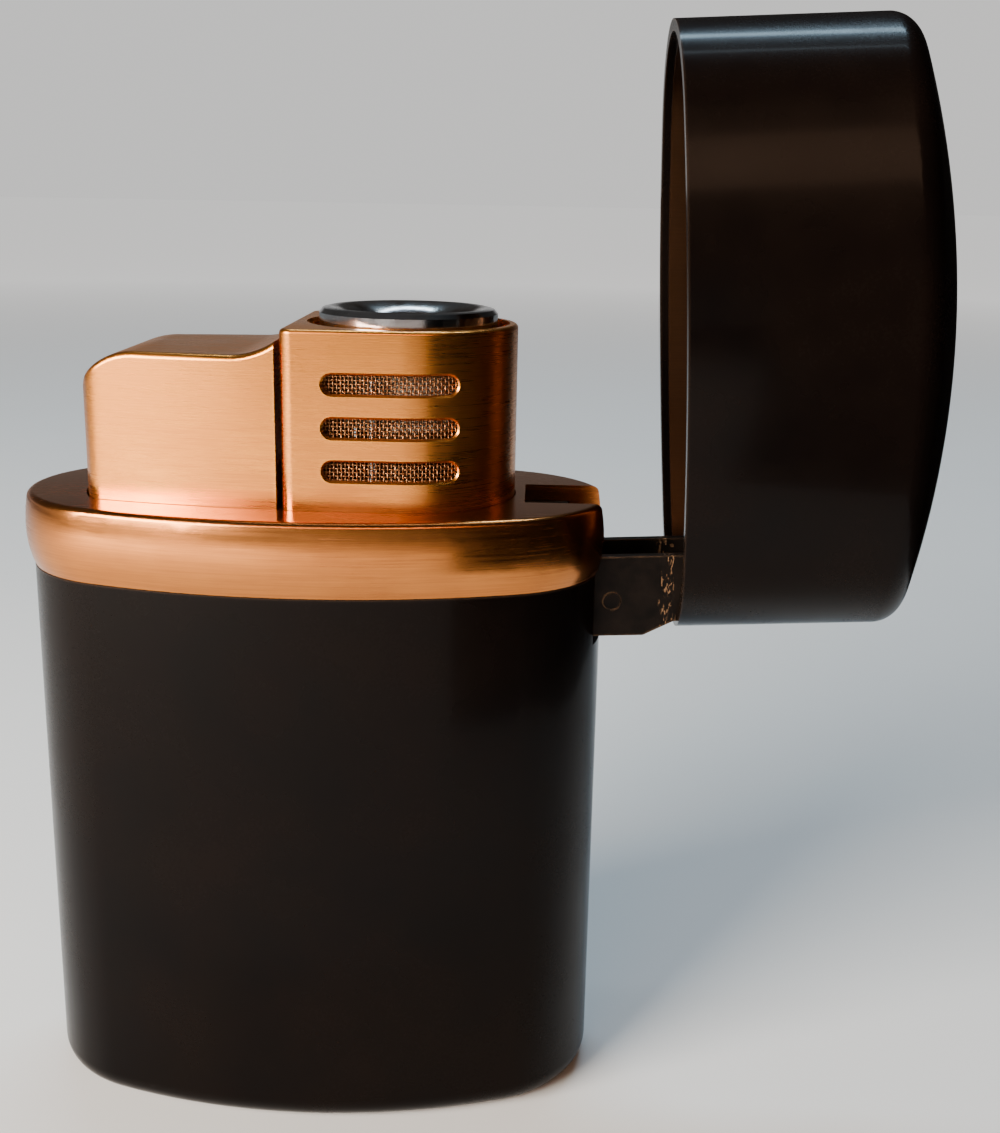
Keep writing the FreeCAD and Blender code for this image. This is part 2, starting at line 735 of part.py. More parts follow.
# ---- chassis ----
def make_chassis():
    """Moulded frame that carries the button, burner, rocker and hinge lug."""
    frame = oval_prism(chassis_inset, chassis_bottom, chassis_top)
    well_floor = top - button_skirt - button_travel - 0.8
    cuts = [button_plan_prism(-well_gap, well_floor, top)]
    hx, hy = piezo_length / 2 + fit_gap, piezo_depth / 2 + fit_gap
    cuts.append(box(piezo_x - hx, piezo_x + hx, -hy, hy, chassis_bottom - 1, top))
    cuts.append(cylinder(cover_radius - 0.55, burner_x, 0, bay_floor, top))
    slot_top = bay_floor - bay_floor_thickness
    rocker_low = rocker_x - rocker_left_arm - 1.4
    rocker_space = rocker_half_width + 0.4
    cuts.append(box(rocker_low, burner_x + 2.6, -rocker_space, rocker_space, chassis_bottom - 1, slot_top))
    cuts.append(box(leg_x - 0.9, leg_x + 1.0, -1.9, 1.9, chassis_bottom, well_floor + 1))
    cuts.append(cylinder(stem_collar_radius + 0.4, burner_x, 0, slot_top - 1, bay_floor + 1))
    cuts.append(cylinder(valve_body_radius + 1.6, burner_x, 0, chassis_bottom - 1, chassis_bottom + 1.6))
    cuts.append(hinge_slot(pin_z - cam_radius - leaf_thickness - 0.5, top))
    cuts.append(box(leaf_start, slot_start + 1, -leaf_half_width - 0.02, leaf_half_width + 0.02,
                    leaf_top - leaf_thickness, leaf_top))
    cuts.append(cross_cylinder(rocker_pin_radius, rocker_x, rocker_z, -3.4, 3.4))
    cuts.append(make_leaf_rivet())
    cuts.append(make_lead(lead_radius + channel_gap))
    cuts.append(cylinder(electrode_radius + channel_gap, electrode_x, electrode_y, electrode_foot - 0.5, top))
    for cut in cuts:
        frame = frame.cut(cut)
    tongue = box(slot_start - 0.5, pin_x, -lug_half_width, lug_half_width, pin_z - lug_radius,
                 pin_z + lug_radius)
    nose = cross_cylinder(lug_radius, pin_x, pin_z, -lug_half_width, lug_half_width)
    frame = join(frame, tongue, nose)
    return frame.cut(cross_cylinder(pin_radius + pin_running_gap, pin_x, pin_z, -5, 5))


# ---- leaf spring under the bracket's heel ----
def make_leaf_spring():
    strip = box(leaf_start, pin_x + 0.9, -leaf_half_width, leaf_half_width,
                leaf_top - leaf_thickness, leaf_top)
    return strip.cut(cylinder(leaf_rivet_radius, leaf_rivet_x, 0, leaf_top - 2, leaf_top + 1))


def make_leaf_rivet():
    return cylinder(leaf_rivet_radius, leaf_rivet_x, 0, leaf_top - leaf_rivet_grip, leaf_top + 0.5)


# ---- lid, modelled shut ----
def lid_block(inset, z0):
    """Domed oval solid whose skin is parallel to the lid's by inset."""
    crown = lid_rim + lid_height
    prism = oval_prism(inset, z0, crown + 1)
    radius = lid_dome_radius - inset
    squeeze = half_depth / half_length
    ball = Part.makeSphere(radius)
    matrix = FreeCAD.Matrix()
    matrix.scale(1, squeeze, 1)
    ball = ball.transformGeometry(matrix)
    ball.translate(V(0, 0, crown - lid_dome_radius))
    block = prism.common(ball)
    edge_height = crown - lid_dome_radius * 0.15
    shoulder = [e for e in block.Edges if e.BoundBox.ZMin > edge_height and e.BoundBox.ZMax < crown - inset - 1]
    return block.makeFillet(max(lid_edge_radius - inset, 0.4), shoulder)


def make_lid_shell():
    return lid_block(0, lid_rim).cut(lid_block(lid_wall, lid_rim - 1))


def make_lid_liner():
    outer = lid_wall + 0.04
    skin = lid_block(outer, lid_rim + liner_setback)
    liner = skin.cut(lid_block(outer + liner_wall, lid_rim - 1))
    window = box(pin_x - 4, half_length + 2, -liner_window_half, liner_window_half,
                 lid_rim - 1, lid_rim + liner_window_height)
    return liner.cut(window)


def bracket_side(inner):
    """Side outline of the bracket; inner gives the space between web and cheeks."""
    web = pin_x + bracket_front
    back = pin_x - bracket_back
    low = pin_z - bracket_front
    against_lid = half_length - lid_wall - 0.05
    web_top = lid_rim + bracket_in_lid
    bend_low = lid_rim - joggle_length
    if inner:
        t = bracket_wall
        points = [(web - t, low - 2), (web - t, bend_low), (against_lid - t, lid_rim - 0.2),
                  (against_lid - t, web_top + 1), (back - 2, web_top + 1), (back - 2, low - 2)]
    else:
        points = [(web, low), (web, bend_low), (against_lid, lid_rim - 0.2), (against_lid, web_top),
                  (against_lid - bracket_wall, web_top), (back, lid_rim + cheek_in_lid), (back, low)]
    corners = [V(x, 0, z) for x, z in points]
    return Part.Face(Part.makePolygon(corners + [corners[0]]))


def slab(face, half_width):
    face = face.copy()
    face.translate(V(0, -half_width, 0))
    return face.extrude(V(0, 2 * half_width, 0))


def make_hinge_bracket():
    shape = slab(bracket_side(False), bracket_half_width)
    heel_room = box(pin_x - 6, pin_x + 6, -5, 5, pin_z - 6, pin_z)
    heel = shape.common(heel_room).common(cross_cylinder(cam_radius, pin_x, pin_z, -5, 5))
    shape = join(shape.cut(heel_room), heel)
    shape = shape.cut(slab(bracket_side(True), cheek_inner))
    shape = shape.cut(cross_cylinder(pin_radius, pin_x, pin_z, -5, 5))
    shape = shape.cut(cross_cylinder(spacer_radius, pin_x, pin_z + spacer_height, -5, 5))
    return shape.cut(make_lid_shell())


def make_hinge_pin():
    return cross_cylinder(pin_radius, pin_x, pin_z, -bracket_half_width, bracket_half_width)


def make_bracket_spacer():
    return cross_cylinder(spacer_radius, pin_x, pin_z + spacer_height,
                          -bracket_half_width - 0.06, bracket_half_width + 0.06)


def swing_open(shape):
    shape.rotate(V(pin_x, 0, pin_z), Y_AXIS, open_angle)
    return shape


# ---- the assembly ----
parts["body_shell"] = make_body_shell()
parts["base_cap"] = make_base_cap()
parts["base_screws"] = make_base_screws()
parts["collar"] = make_collar()
parts["chassis"] = make_chassis()
parts["button"] = make_button()
parts["burner_cover"] = make_burner_cover()
parts["air_screen"] = make_air_screen()
parts["burner_cup"] = make_burner_cup()
parts["insulator_ring"] = make_insulator_ring()
parts["burner_body"] = make_burner_body()
parts["flame_plate"] = make_flame_plate()
parts["flame_coil"] = make_flame_coil()
parts["electrode"] = make_electrode()
parts["ignition_lead"] = make_lead(lead_radius)
parts["piezo_case"] = make_piezo_case()
parts["piezo_plunger"] = make_piezo_plunger()
parts["piezo_spring"] = make_piezo_spring()
parts["fuel_tank"] = make_fuel_tank()
parts["tank_lid"] = make_tank_lid()
parts["gas_valve_body"] = make_gas_valve_body()
parts["gas_valve_seal"] = make_gas_valve_seal()
parts["gas_valve_stem"] = make_gas_valve_stem()
parts["gas_valve_spring"] = make_gas_valve_spring()
parts["flame_adjuster"] = make_flame_adjuster()
parts["fill_valve_body"] = make_fill_valve_body()
parts["fill_valve_seal"] = make_fill_valve_seal()
parts["fill_valve_stem"] = make_fill_valve_stem()
parts["fill_valve_spring"] = make_fill_valve_spring()
parts["valve_rocker"] = make_valve_rocker()
parts["rocker_pin"] = make_rocker_pin()
parts["leaf_spring"] = make_leaf_spring()
parts["leaf_rivet"] = make_leaf_rivet()
parts["lid_shell"] = swing_open(make_lid_shell())
parts["lid_liner"] = swing_open(make_lid_liner())
parts["hinge_bracket"] = swing_open(make_hinge_bracket())
parts["hinge_pin"] = swing_open(make_hinge_pin())
parts["bracket_spacer"] = swing_open(make_bracket_spacer())

os.makedirs("parts", exist_ok=True)
for name, shape in parts.items():
    shape.exportStep(f"parts/{name}.step")
    print(f"{name:20s} solids {len(shape.Solids)} valid {shape.isValid()} volume {shape.Volume:9.2f}")
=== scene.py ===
import json
import math

import bmesh
import bpy
from mathutils import Matrix, Vector

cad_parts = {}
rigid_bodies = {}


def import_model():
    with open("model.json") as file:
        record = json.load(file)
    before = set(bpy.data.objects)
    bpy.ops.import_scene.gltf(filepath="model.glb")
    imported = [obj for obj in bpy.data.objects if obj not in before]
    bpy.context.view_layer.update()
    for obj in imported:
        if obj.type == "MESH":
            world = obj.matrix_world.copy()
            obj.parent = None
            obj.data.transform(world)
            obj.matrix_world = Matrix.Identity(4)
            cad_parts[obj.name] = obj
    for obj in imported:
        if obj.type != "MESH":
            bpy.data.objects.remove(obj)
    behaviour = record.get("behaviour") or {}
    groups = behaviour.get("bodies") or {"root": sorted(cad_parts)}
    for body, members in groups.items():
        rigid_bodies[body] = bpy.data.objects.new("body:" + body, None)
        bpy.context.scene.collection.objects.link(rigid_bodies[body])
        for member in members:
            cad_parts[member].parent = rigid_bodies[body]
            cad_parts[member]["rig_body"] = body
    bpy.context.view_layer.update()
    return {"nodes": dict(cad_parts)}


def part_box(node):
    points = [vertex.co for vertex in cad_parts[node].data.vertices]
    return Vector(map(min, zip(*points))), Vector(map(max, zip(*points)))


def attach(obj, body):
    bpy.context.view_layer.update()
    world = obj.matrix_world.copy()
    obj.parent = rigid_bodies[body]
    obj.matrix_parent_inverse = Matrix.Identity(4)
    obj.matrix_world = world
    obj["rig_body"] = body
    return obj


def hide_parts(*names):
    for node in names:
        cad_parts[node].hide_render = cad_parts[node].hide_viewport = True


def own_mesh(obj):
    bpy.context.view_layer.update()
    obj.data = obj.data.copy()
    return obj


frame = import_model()

# A flip-top jet lighter, standing open. Metres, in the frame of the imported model: origin at the middle
# of the flat base, +Z up, +X towards the hinge, -Y the front.

MM = 0.001
BACKDROP_LEVEL = 0.78         # brightness of floor and backdrop as seen directly
BACKDROP_TINT = (1.0, 0.99, 0.975)
WOBBLE_PER_METRE = 9000.0     # unevenness of a speck's outline
WOBBLE_REACH = 0.0001
nodes = frame["nodes"]


# ---------------------------------------------------------------- node helpers
def put(tree, kind, inputs=None, **settings):
    """Adds a node; each input is a value, or the output socket that feeds it."""
    node = tree.nodes.new(kind)
    for key, value in settings.items():
        setattr(node, key, value)
    for key, value in (inputs or {}).items():
        if isinstance(value, bpy.types.NodeSocket):
            tree.links.new(value, node.inputs[key])
        else:
            node.inputs[key].default_value = value
    return node


def calc(tree, operation, a, b=0.0):
    return put(tree, "ShaderNodeMath", {0: a, 1: b}, operation=operation).outputs[0]


def vector(tree, operation, a, b=None, scale=None):
    inputs = {0: a}
    if b is not None:
        inputs[1] = b
    if scale is not None:
        inputs["Scale"] = scale
    node = put(tree, "ShaderNodeVectorMath", inputs, operation=operation)
    return node.outputs["Value" if operation in ("DOT_PRODUCT", "LENGTH") else "Vector"]


def remap(tree, value, low, high, to_low=0.0, to_high=1.0):
    inputs = {"Value": value, "From Min": low, "From Max": high, "To Min": to_low, "To Max": to_high}
    return put(tree, "ShaderNodeMapRange", inputs).outputs["Result"]


# The Mix node lists the sockets of every data type; these are the positions of the ones used here.
MIX_FACTOR = 0
MIX_FLOAT_A, MIX_FLOAT_B, MIX_FLOAT_RESULT = 2, 3, 0
MIX_COLOUR_A, MIX_COLOUR_B, MIX_COLOUR_RESULT = 6, 7, 2


def blend_number(tree, share, first, second):
    inputs = {MIX_FACTOR: share, MIX_FLOAT_A: first, MIX_FLOAT_B: second}
    return put(tree, "ShaderNodeMix", inputs, data_type="FLOAT").outputs[MIX_FLOAT_RESULT]


def blend_colour(tree, share, first, second):
    """Colours are given as (r, g, b), or as the output socket that feeds them."""
    inputs = {MIX_FACTOR: share}
    for index, value in ((MIX_COLOUR_A, first), (MIX_COLOUR_B, second)):
        inputs[index] = value if isinstance(value, bpy.types.NodeSocket) else (*value, 1.0)
    return put(tree, "ShaderNodeMix", inputs, data_type="RGBA").outputs[MIX_COLOUR_RESULT]


def noise(tree, place, scale, detail=3.0, roughness=0.55):
    inputs = {"Vector": place, "Scale": scale, "Detail": detail, "Roughness": roughness}
    return put(tree, "ShaderNodeTexNoise", inputs).outputs["Fac"]


def object_place(tree):
    return put(tree, "ShaderNodeTexCoord").outputs["Object"]


def group_tree(name, inputs, outputs):
    """An empty shader node group with its named sockets."""
    tree = bpy.data.node_groups.new(name, "ShaderNodeTree")
    for label, value in inputs.items():
        tree.interface.new_socket(label, in_out="INPUT", socket_type="NodeSocketFloat").default_value = value
    for label in outputs:
        tree.interface.new_socket(label, in_out="OUTPUT", socket_type="NodeSocketFloat")
    return tree, tree.nodes.new("NodeGroupInput").outputs, tree.nodes.new("NodeGroupOutput").inputs


# ---------------------------------------------------------------- finishes shared by materials
def make_brush_strokes():
    """Straight sanding strokes: level on upright faces, lengthwise on flat ones."""
    tree, given, result = group_tree(
        "brush_strokes",
        {"Stroke Length": 0.006, "Stroke Width": 0.0001},
        ("Strokes",),
    )
    place = object_place(tree)
    facing = put(tree, "ShaderNodeSeparateXYZ", {0: put(tree, "ShaderNodeNewGeometry").outputs["Normal"]})
    flat = remap(tree, calc(tree, "ABSOLUTE", facing.outputs["Z"]), 0.6, 0.8)
    along = calc(tree, "DIVIDE", 1.0, given["Stroke Length"])
    across = calc(tree, "DIVIDE", 1.0, given["Stroke Width"])
    level = put(tree, "ShaderNodeCombineXYZ", {"X": along, "Y": along, "Z": across}).outputs[0]
    lengthwise = put(tree, "ShaderNodeCombineXYZ", {"X": along, "Y": across, "Z": along}).outputs[0]
    strokes = []
    for stretch in (level, lengthwise):
        stretched = vector(tree, "MULTIPLY", place, stretch)
        strokes.append(noise(tree, stretched, 1.0, 4.0, 0.7))
    mixed = blend_number(tree, flat, strokes[0], strokes[1])
    tree.links.new(remap(tree, mixed, 0.3, 0.7), result["Strokes"])
    return tree


def make_handling():
    """Soft mottling and fine grain that handling leaves on any finish."""
    tree, given, result = group_tree(
        "handling", {"Patch Size": 0.004, "Grain Size": 0.0002}, ("Patches", "Grain")
    )
    place = object_place(tree)
    patches = noise(tree, place, calc(tree, "DIVIDE", 1.0, given["Patch Size"]), 4.0)
    grain = noise(tree, place, calc(tree, "DIVIDE", 1.0, given["Grain Size"]), 2.0)
    tree.links.new(remap(tree, patches, 0.32, 0.68), result["Patches"])
    tree.links.new(remap(tree, grain, 0.3, 0.7), result["Grain"])
    return tree


def make_edge_wear():
    """Mask of rubbed corners, broken up so that the edge looks scuffed."""
    tree, given, result = group_tree(
        "edge_wear", {"Reach": 0.0004, "Amount": 1.0, "Break Up": 0.0006}, ("Mask",)
    )
    flat_normal = put(tree, "ShaderNodeNewGeometry").outputs["Normal"]
    round_normal = put(tree, "ShaderNodeBevel", {"Radius": given["Reach"]}, samples=4).outputs[0]
    turned = calc(tree, "SUBTRACT", 1.0, vector(tree, "DOT_PRODUCT", flat_normal, round_normal))
    scuffs = noise(tree, object_place(tree), calc(tree, "DIVIDE", 1.0, given["Break Up"]), 5.0, 0.65)
    worn = calc(tree, "MULTIPLY", calc(tree, "MULTIPLY", turned, scuffs), given["Amount"])
    tree.links.new(remap(tree, worn, 0.035, 0.07), result["Mask"])
    return tree


def make_dust():
    """Mask of sparse small specks."""
    tree, given, result = group_tree(
        "dust", {"Spacing": 0.004, "Speck Size": 0.00008, "Share": 0.3}, ("Mask",)
    )
    place = object_place(tree)
    wobble = put(tree, "ShaderNodeTexNoise", {"Vector": place, "Scale": WOBBLE_PER_METRE}).outputs["Color"]
    moved = vector(tree, "ADD", place, vector(tree, "SCALE", wobble, scale=WOBBLE_REACH))
    per_metre = calc(tree, "DIVIDE", 1.0, given["Spacing"])
    cells = put(tree, "ShaderNodeTexVoronoi", {"Vector": moved, "Scale": per_metre})
    distance = calc(tree, "DIVIDE", cells.outputs["Distance"], per_metre)
    lot = put(tree, "ShaderNodeSeparateXYZ", {0: cells.outputs["Color"]})
    size = calc(tree, "MULTIPLY", given["Speck Size"], calc(tree, "ADD", lot.outputs["Y"], 0.4))
    inside = calc(tree, "LESS_THAN", distance, size)
    chosen = calc(tree, "LESS_THAN", lot.outputs["X"], given["Share"])
    tree.links.new(calc(tree, "MULTIPLY", inside, chosen), result["Mask"])
    return tree


brush_strokes = make_brush_strokes()
handling = make_handling()
edge_wear = make_edge_wear()
dust = make_dust()


def use(tree, group, **values):
    """Places a shared finish in a material; keyword names are the sockets' with _ for space."""
    node = put(tree, "ShaderNodeGroup", node_tree=group)
    for key, value in values.items():
        node.inputs[key.replace("_", " ")].default_value = value
    return node.outputs


def new_material(name, **uniform):
    material = bpy.data.materials.new(name)
    material.use_nodes = True
    shader = material.node_tree.nodes["Principled BSDF"]
    for key, value in uniform.items():
        shader.inputs[key.replace("_", " ")].default_value = value
    return material, material.node_tree, shader


def feed(tree, shader, **sockets):
    for key, value in sockets.items():
        tree.links.new(value, shader.inputs[key.replace("_", " ")])


def bump(tree, height, distance, strength=1.0):
    inputs = {"Height": height, "Distance": distance, "Strength": strength}
    return put(tree, "ShaderNodeBump", inputs).outputs["Normal"]


# ---------------------------------------------------------------- materials
def make_brushed_copper(name, bright, deep, stroke_depth, gloss):
    """Plated antique copper: fine strokes, darker film left in them, brighter rubbed edges."""
    material, tree, shader = new_material(name, Metallic=1.0)
    strokes = use(tree, brush_strokes, Stroke_Length=0.0065, Stroke_Width=0.00011)
    marks = use(tree, handling, Patch_Size=0.009, Grain_Size=0.00016)
    wear = use(tree, edge_wear, Reach=0.00035, Amount=2.0, Break_Up=0.003)["Mask"]
    film = calc(tree, "MULTIPLY", remap(tree, strokes["Strokes"], 0.0, 1.0, 1.0, 0.25), 0.55)
    film = calc(tree, "ADD", film, remap(tree, marks["Patches"], 0.0, 1.0, 0.0, 0.3))
    tone = blend_colour(tree, film, bright, deep)
    rubbed = tuple(min(1, c * 1.12) for c in bright)
    tone = blend_colour(tree, calc(tree, "MULTIPLY", wear, 0.45), tone, rubbed)
    rough = calc(tree, "ADD", remap(tree, strokes["Strokes"], 0.0, 1.0, gloss + 0.07, gloss - 0.05),
                 remap(tree, marks["Patches"], 0.0, 1.0, -0.04, 0.05))
    feed(tree, shader, Base_Color=tone, Roughness=rough,
         Normal=bump(tree, strokes["Strokes"], stroke_depth, 0.35))
    return material


def make_lacquer():
    """Brown-black satin lacquer over metal, with faint mottling and a few specks of dust."""
    material, tree, shader = new_material(
        "brown_black_lacquer", Specular_IOR_Level=0.05, Coat_Roughness=0.10, Coat_IOR=1.2
    )
    marks = use(tree, handling, Patch_Size=0.011, Grain_Size=0.00022)
    specks = use(tree, dust, Spacing=0.0055, Speck_Size=0.00011, Share=0.3)["Mask"]
    wear = use(tree, edge_wear, Reach=0.0003, Amount=0.8, Break_Up=0.0007)["Mask"]
    tone = blend_colour(tree, marks["Patches"], (0.0020, 0.0012, 0.0010), (0.0044, 0.0025, 0.0018))
    tone = blend_colour(tree, calc(tree, "MULTIPLY", wear, 0.35), tone, (0.07, 0.04, 0.025))
    tone = blend_colour(tree, calc(tree, "MULTIPLY", specks, 0.6), tone, (0.16, 0.145, 0.13))
    rough = calc(tree, "ADD", remap(tree, marks["Patches"], 0.0, 1.0, 0.20, 0.29),
                 remap(tree, marks["Grain"], 0.0, 1.0, -0.015, 0.02))
    rough = calc(tree, "MAXIMUM", rough, calc(tree, "MULTIPLY", specks, 0.8))
    coat = remap(tree, marks["Patches"], 0.0, 1.0, 0.32, 0.18)
    orange_peel = calc(tree, "ADD", calc(tree, "MULTIPLY", marks["Grain"], 0.08), specks)
    feed(tree, shader, Base_Color=tone, Roughness=rough, Coat_Weight=coat,
         Normal=bump(tree, orange_peel, 0.000006, 0.35))
    return material


def make_chrome_cup():
    """Bright chrome, straw and blue heat tints near the mouth darkened with a painted dark reflection of the
    burner, faint soot.
    """
    material, tree, shader = new_material("heat_tinted_chrome", Metallic=1.0)
    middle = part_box("burner_cup")
    centre = (middle[0] + middle[1]) / 2
    place = vector(tree, "SUBTRACT", object_place(tree), tuple(centre))
    parts = put(tree, "ShaderNodeSeparateXYZ", {0: place}).outputs
    flat = put(tree, "ShaderNodeCombineXYZ", {"X": parts["X"], "Y": parts["Y"]}).outputs[0]
    radius = vector(tree, "LENGTH", flat)
    marks = use(tree, handling, Patch_Size=0.0016, Grain_Size=0.00012)
    wandering = calc(tree, "ADD", radius, remap(tree, marks["Patches"], 0.0, 1.0, -0.0004, 0.0004))
    # Heat tint toward the mouth, toned darker than a tint alone: part real heat tint, part painted dark
    # reflection.
    heat_tint_and_painted_shade = remap(tree, wandering, 0.0039, 0.0056, 1.0, 0.0)
    tone = blend_colour(tree, heat_tint_and_painted_shade, (0.78, 0.80, 0.84), (0.42, 0.33, 0.25))
    # Painted dark reflection: the chrome turns dark grey just around the mouth, standing in for the burner
    # reflected there.
    tone = blend_colour(tree, remap(tree, wandering, 0.0046, 0.0040), tone, (0.24, 0.20, 0.19))
    soot = calc(tree, "MULTIPLY", remap(tree, marks["Patches"], 0.55, 1.0), 0.35)
    tone = blend_colour(tree, soot, tone, (0.10, 0.09, 0.085))
    rough = calc(tree, "ADD", remap(tree, marks["Patches"], 0.0, 1.0, 0.07, 0.16),
                 calc(tree, "MULTIPLY", heat_tint_and_painted_shade, 0.06))
    feed(tree, shader, Base_Color=tone, Roughness=rough, Normal=bump(tree, marks["Grain"], 0.000004, 0.3))
    return material


RUBBED_BAND_INSET = 1.2 * MM        # middle of the rubbed band, inwards from the lid's rim
RUBBED_BAND_FADE = (0.3 * MM, 1.1 * MM)
SCRATCHES_PER_METRE = (5200.0, 5200.0, 1500.0)


def make_worn_paint(name, corner_wear, chip_share):
    """Black paint on steel, rubbed through to coppery metal at corners and where the lid's rim sits."""
    material, tree, shader = new_material(name, Specular_IOR_Level=0.07)
    marks = use(tree, handling, Patch_Size=0.0016, Grain_Size=0.00012)
    edges = use(tree, edge_wear, Reach=0.0004, Amount=corner_wear, Break_Up=0.0011)["Mask"]
    chips = use(tree, dust, Spacing=0.0013, Speck_Size=0.00016, Share=chip_share)["Mask"]
    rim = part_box("lid_shell")[0].x
    along = put(tree, "ShaderNodeSeparateXYZ", {0: object_place(tree)}).outputs["X"]
    from_rim = calc(tree, "ABSOLUTE", calc(tree, "SUBTRACT", along, rim + RUBBED_BAND_INSET))
    near_rim = remap(tree, from_rim, *RUBBED_BAND_FADE, 1.0, 0.0)
    upright = vector(tree, "MULTIPLY", object_place(tree), SCRATCHES_PER_METRE)
    scratches = remap(tree, noise(tree, upright, 1.0, 4.0, 0.65), 0.36, 0.64)
    rubbed = calc(tree, "MULTIPLY", scratches, near_rim)
    rubbed = remap(tree, rubbed, 0.66, 0.84)
    bare = calc(tree, "MAXIMUM", calc(tree, "MAXIMUM", edges, chips), rubbed)
    paint = blend_colour(tree, marks["Patches"], (0.0022, 0.0015, 0.0011), (0.0075, 0.0048, 0.0034))
    metal = blend_colour(tree, marks["Grain"], (0.16, 0.082, 0.04), (0.34, 0.19, 0.10))
    tone = blend_colour(tree, bare, paint, metal)
    rough = blend_number(tree, bare, 0.46, 0.34)
    height = calc(tree, "SUBTRACT", calc(tree, "MULTIPLY", marks["Grain"], 0.3), bare)
    feed(tree, shader, Base_Color=tone, Roughness=rough, Metallic=calc(tree, "MULTIPLY", bare, 0.9),
         Normal=bump(tree, height, 0.00002, 0.5))
    return material


def make_plain(name, first, second, rough, metallic=0.0, patch=0.003, grain=0.00015, depth=0.000006,
               streaks=False, **uniform):
    """A plain finish for a small or inner piece: two close tones, uneven gloss, fine surface."""
    material, tree, shader = new_material(name, Metallic=metallic, **uniform)
    marks = use(tree, handling, Patch_Size=patch, Grain_Size=grain)
    height = marks["Grain"]
    share = marks["Patches"]
    if streaks:
        strokes = use(tree, brush_strokes, Stroke_Length=0.003, Stroke_Width=0.00008)
        height = strokes["Strokes"]
        share = calc(tree, "MULTIPLY", calc(tree, "ADD", share, height), 0.5)
    tone = blend_colour(tree, share, first, second)
    spread = remap(tree, share, 0.0, 1.0, rough - 0.06, rough + 0.08)
    feed(tree, shader, Base_Color=tone, Roughness=spread, Normal=bump(tree, height, depth, 0.4))
    return material


copper = make_brushed_copper("brushed_copper", (1.0, 0.385, 0.062), (0.52, 0.160, 0.040), 0.000003, 0.26)
collar_copper = make_brushed_copper("collar_copper", (0.72, 0.262, 0.060), (0.34, 0.104, 0.030),
                                    0.0000025, 0.21)
lacquer = make_lacquer()
chrome = make_chrome_cup()
worn_paint = make_worn_paint("worn_black_paint", 0.27, 0.12)
painted_rivet = make_worn_paint("painted_rivet", 0.1, 0.05)
# The liner's copper is toned almost black: painted shade for the inside of the open lid.
liner_copper = make_plain("liner_copper", (0.085, 0.038, 0.017), (0.045, 0.020, 0.010), 0.36, 1.0,
                          patch=0.006, streaks=True)
screen_wire = make_plain("screen_wire", (0.52, 0.235, 0.095), (0.16, 0.070, 0.030), 0.42, 1.0, patch=0.00035)
steel = make_plain("plain_steel", (0.52, 0.52, 0.53), (0.40, 0.40, 0.41), 0.30, 1.0, streaks=True)
spring_steel = make_plain("spring_steel", (0.42, 0.43, 0.45), (0.30, 0.30, 0.32), 0.28, 1.0)
zinc = make_plain("zinc_screws", (0.60, 0.61, 0.63), (0.45, 0.46, 0.49), 0.33, 1.0, patch=0.0008)
brass = make_plain("turned_brass", (0.72, 0.52, 0.22), (0.54, 0.37, 0.15), 0.30, 1.0, streaks=True)
sooted_brass = make_plain("sooted_brass", (0.40, 0.25, 0.13), (0.13, 0.085, 0.055), 0.42, 1.0, patch=0.0012)
glow_wire = make_plain("glow_wire", (0.34, 0.30, 0.30), (0.16, 0.15, 0.19), 0.33, 1.0, patch=0.0005)
ceramic = make_plain("white_ceramic", (0.72, 0.69, 0.62), (0.52, 0.47, 0.40), 0.35, Specular_IOR_Level=0.5)
dark_plastic = make_plain("dark_plastic", (0.018, 0.017, 0.017), (0.028, 0.027, 0.027), 0.48, grain=0.0003,
                          depth=0.00002)
tank_plastic = make_plain("tank_plastic", (0.58, 0.58, 0.54), (0.50, 0.50, 0.46), 0.42, grain=0.0004,
                          Subsurface_Weight=0.2, Subsurface_Scale=0.001)
piezo_plastic = make_plain("piezo_plastic", (0.70, 0.67, 0.60), (0.62, 0.58, 0.51), 0.40, grain=0.0003)
rubber = make_plain("seal_rubber", (0.016, 0.016, 0.016), (0.026, 0.025, 0.025), 0.62, grain=0.0001)
lead_cover = make_plain("lead_cover", (0.30, 0.03, 0.025), (0.22, 0.022, 0.02), 0.44, patch=0.002)

finish_of = {
    "body_shell": lacquer, "lid_shell": lacquer, "collar": collar_copper, "button": copper,
    "burner_cover": copper, "lid_liner": liner_copper, "air_screen": screen_wire, "burner_cup": chrome,
    "hinge_bracket": worn_paint, "hinge_pin": steel, "bracket_spacer": painted_rivet, "rocker_pin": steel,
    "leaf_rivet": steel, "leaf_spring": spring_steel, "piezo_spring": spring_steel,
    "gas_valve_spring": spring_steel, "fill_valve_spring": spring_steel, "base_screws": zinc,
    "gas_valve_body": brass, "gas_valve_stem": brass, "fill_valve_body": brass, "fill_valve_stem": brass,
    "burner_body": sooted_brass, "flame_plate": sooted_brass, "flame_coil": glow_wire, "electrode": steel,
    "insulator_ring": ceramic, "gas_valve_seal": rubber, "fill_valve_seal": rubber,
    "chassis": dark_plastic, "base_cap": dark_plastic, "valve_rocker": dark_plastic,
    "flame_adjuster": zinc, "fuel_tank": tank_plastic, "tank_lid": tank_plastic,
    "piezo_case": dark_plastic, "piezo_plunger": piezo_plastic, "ignition_lead": lead_cover,
}
for name, node in nodes.items():
    node.data.materials.clear()
    node.data.materials.append(finish_of[name])


# ---------------------------------------------------------------- outer pieces with smooth skins
SHARP_ANGLE = math.radians(30.0)
FLAT_ANGLE = math.radians(0.4)
WELD_REACH = 0.0006 * MM
SHORTEST_EDGE = 0.0004 * MM


